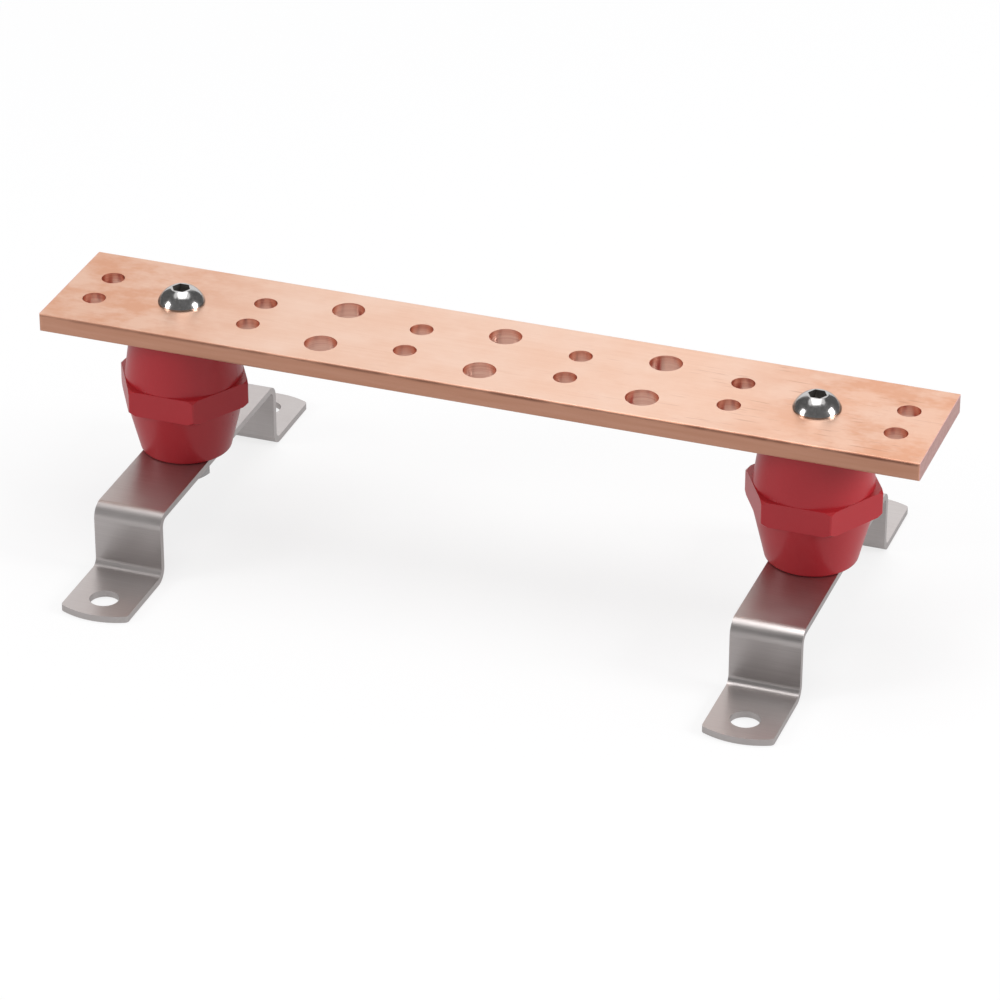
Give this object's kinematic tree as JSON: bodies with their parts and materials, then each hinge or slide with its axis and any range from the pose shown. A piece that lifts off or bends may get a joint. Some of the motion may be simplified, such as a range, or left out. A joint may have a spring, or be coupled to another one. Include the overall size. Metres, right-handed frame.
{
  "type": "earth terminal bar",
  "caption": "Drilled copper earthing bar screwed onto red moulded stand-off insulators, each bolted to a folded stainless steel strap bracket with a drilled foot at either end.",
  "frame": {"origin": "middle of the footprint on the mounting plane that the feet stand on", "axes": "+X along the copper bar, +Y across it and along the brackets, +Z away from the mounting plane towards the bar"},
  "size_m": [0.3048, 0.165, 0.0838],
  "materials": {
    "copper": "mill-finish copper, faintly mottled, satin",
    "red_polyester": "moulded glass-filled polyester, semi-gloss",
    "stainless_strap": "brushed stainless strip",
    "stainless_fastener": "bright cold-formed stainless",
    "brass": "turned from hexagonal bar"
  },
  "bodies": {
    "root": {"ground_bar": "copper", "bar_screw_left": "stainless_fastener", "bar_screw_right": "stainless_fastener", "insulator_left": "red_polyester", "insulator_right": "red_polyester", "upper_insert_left": "brass", "upper_insert_right": "brass", "lower_insert_left": "brass", "lower_insert_right": "brass", "bracket_left": "stainless_strap", "bracket_right": "stainless_strap", "lock_washer_left": "stainless_fastener", "lock_washer_right": "stainless_fastener", "bracket_bolt_left": "stainless_fastener", "bracket_bolt_right": "stainless_fastener"}
  },
  "joints": []
}
